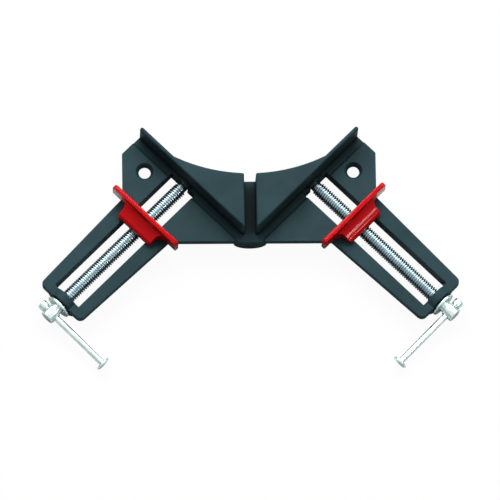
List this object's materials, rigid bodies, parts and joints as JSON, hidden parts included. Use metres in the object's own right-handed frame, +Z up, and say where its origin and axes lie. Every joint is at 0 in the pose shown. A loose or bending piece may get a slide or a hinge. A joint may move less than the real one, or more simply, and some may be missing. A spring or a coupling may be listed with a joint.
{
  "type": "corner clamp",
  "caption": "Corner clamp with a cast body, right-angle fences, red sliding jaws and screws turned by T-bars.",
  "frame": {"origin": "middle of the foot pad under the nose, on the bench", "axes": "+Z up, +X across both arms from the left arm to the right arm, +Y from the nose towards the open back"},
  "size_m": [0.237, 0.1343, 0.0273],
  "materials": {
    "charcoal_paint": "satin blue-black paint on a die casting",
    "red_enamel": "glossy red enamel on a die casting",
    "zinc_plate": "bright zinc plating on turned and rolled steel"
  },
  "bodies": {
    "frame": {"clamp_body": "charcoal_paint"},
    "left_jaw_block": {"left_jaw": "red_enamel"},
    "left_spindle": {"left_lead_screw": "zinc_plate", "left_thrust_washer": "zinc_plate", "left_retaining_clip": "zinc_plate"},
    "left_handle": {"left_t_bar": "zinc_plate"},
    "right_jaw_block": {"right_jaw": "red_enamel"},
    "right_spindle": {"right_lead_screw": "zinc_plate", "right_thrust_washer": "zinc_plate", "right_retaining_clip": "zinc_plate"},
    "right_handle": {"right_t_bar": "zinc_plate"}
  },
  "joints": [
    {"name": "left_screw_turn", "type": "hinge", "parent": "frame", "child": "left_spindle", "pos_m": [-0.0355, 0.0195, 0.0081], "axis": [-0.7071, -0.7071, 0], "range_deg": [-13360, 7340]},
    {"name": "left_jaw_travel", "type": "slide", "parent": "frame", "child": "left_jaw_block", "axis": [-0.7071, -0.7071, 0], "range_m": [-0.0288, 0.0524]},
    {"name": "left_bar_slide", "type": "slide", "parent": "left_spindle", "child": "left_handle", "axis": [-0.7044, 0.7044, 0.0872], "range_m": [0, 0.035]},
    {"name": "right_screw_turn", "type": "hinge", "parent": "frame", "child": "right_spindle", "pos_m": [0.0355, 0.0195, 0.0081], "axis": [0.7071, -0.7071, 0], "range_deg": [-13590, 7110]},
    {"name": "right_jaw_travel", "type": "slide", "parent": "frame", "child": "right_jaw_block", "axis": [0.7071, -0.7071, 0], "range_m": [-0.0279, 0.0533]},
    {"name": "right_bar_slide", "type": "slide", "parent": "right_spindle", "child": "right_handle", "axis": [0.7044, 0.7044, 0.0872], "range_m": [0, 0.035]}
  ],
  "couplings": [
    {"joint": "left_jaw_travel", "follows": "left_screw_turn", "m_per_rad": -0.00022459},
    {"joint": "right_jaw_travel", "follows": "right_screw_turn", "m_per_rad": -0.00022459}
  ]
}
